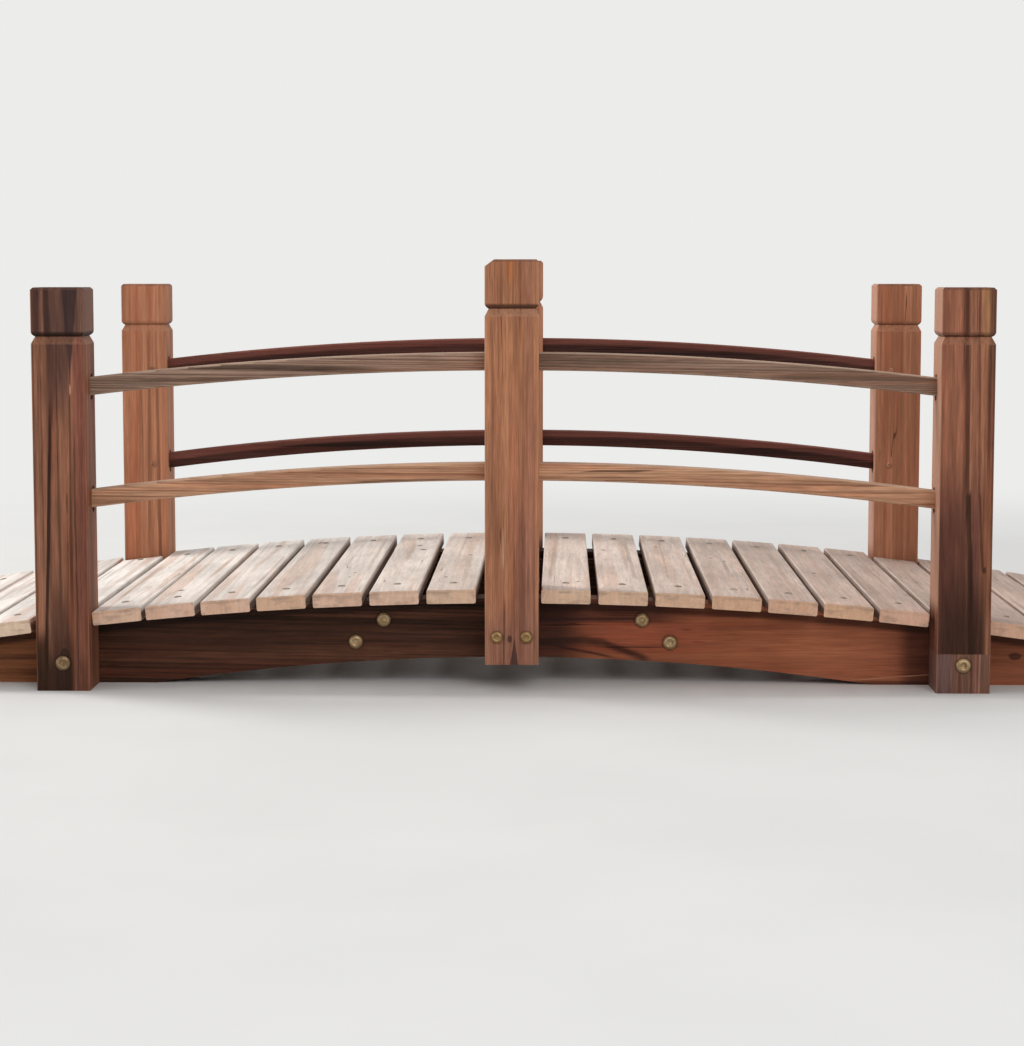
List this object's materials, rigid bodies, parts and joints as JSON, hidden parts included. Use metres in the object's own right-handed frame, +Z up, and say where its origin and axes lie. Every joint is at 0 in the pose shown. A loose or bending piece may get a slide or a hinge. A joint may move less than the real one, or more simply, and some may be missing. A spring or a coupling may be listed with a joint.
{
  "type": "arched timber garden footbridge",
  "caption": "Low arched timber footbridge for a garden: arched stringers carry cross boards, and grooved square posts hold curved rails along both sides.",
  "frame": {"origin": "on the ground under the middle of the walkway", "axes": "+X along the walkway to the right of the picture, +Y across it to the rear rail, +Z up"},
  "size_m": [1.5004, 0.67, 0.498],
  "materials": {
    "end_post_wood": "charred and brushed softwood, dark brown with near-black grain streaks, satin",
    "mid_post_wood": "stained softwood, lighter reddish brown with fine grain, satin",
    "stringer_wood": "charred and brushed softwood, dark reddish brown with long wavy grain",
    "board_wood": "sun-bleached softwood, pale pinkish beige with brown grain",
    "rail_wood": "wire-brushed softwood, brown with raised grain",
    "splice_wood": "charred softwood, dark brown, matt",
    "bolt_metal": "aged yellow zinc, dull",
    "screw_metal": "pale coppery plating, satin"
  },
  "bodies": {
    "root": {"post_front_left": "end_post_wood", "post_front_mid": "mid_post_wood", "post_front_right": "end_post_wood", "post_rear_left": "end_post_wood", "post_rear_mid": "mid_post_wood", "post_rear_right": "end_post_wood", "stringer_front_left": "stringer_wood", "stringer_front_right": "stringer_wood", "stringer_rear_left": "stringer_wood", "stringer_rear_right": "stringer_wood", "splice_front": "splice_wood", "splice_rear": "splice_wood", "deck_board_01": "board_wood", "deck_board_02": "board_wood", "deck_board_03": "board_wood", "deck_board_04": "board_wood", "deck_board_05": "board_wood", "deck_board_06": "board_wood", "deck_board_07": "board_wood", "deck_board_08": "board_wood", "deck_board_09": "board_wood", "deck_board_10": "board_wood", "deck_board_11": "board_wood", "deck_board_12": "board_wood", "deck_board_13": "board_wood", "deck_board_14": "board_wood", "deck_board_15": "board_wood", "deck_board_16": "board_wood", "deck_board_17": "board_wood", "deck_board_18": "board_wood", "deck_board_19": "board_wood", "deck_board_20": "board_wood", "deck_board_21": "board_wood", "deck_board_22": "board_wood", "deck_board_23": "board_wood", "upper_rail_front_left": "rail_wood", "upper_rail_front_right": "rail_wood", "upper_rail_rear_left": "rail_wood", "upper_rail_rear_right": "rail_wood", "lower_rail_front_left": "rail_wood", "lower_rail_front_right": "rail_wood", "lower_rail_rear_left": "rail_wood", "lower_rail_rear_right": "rail_wood"}
  },
  "joints": []
}
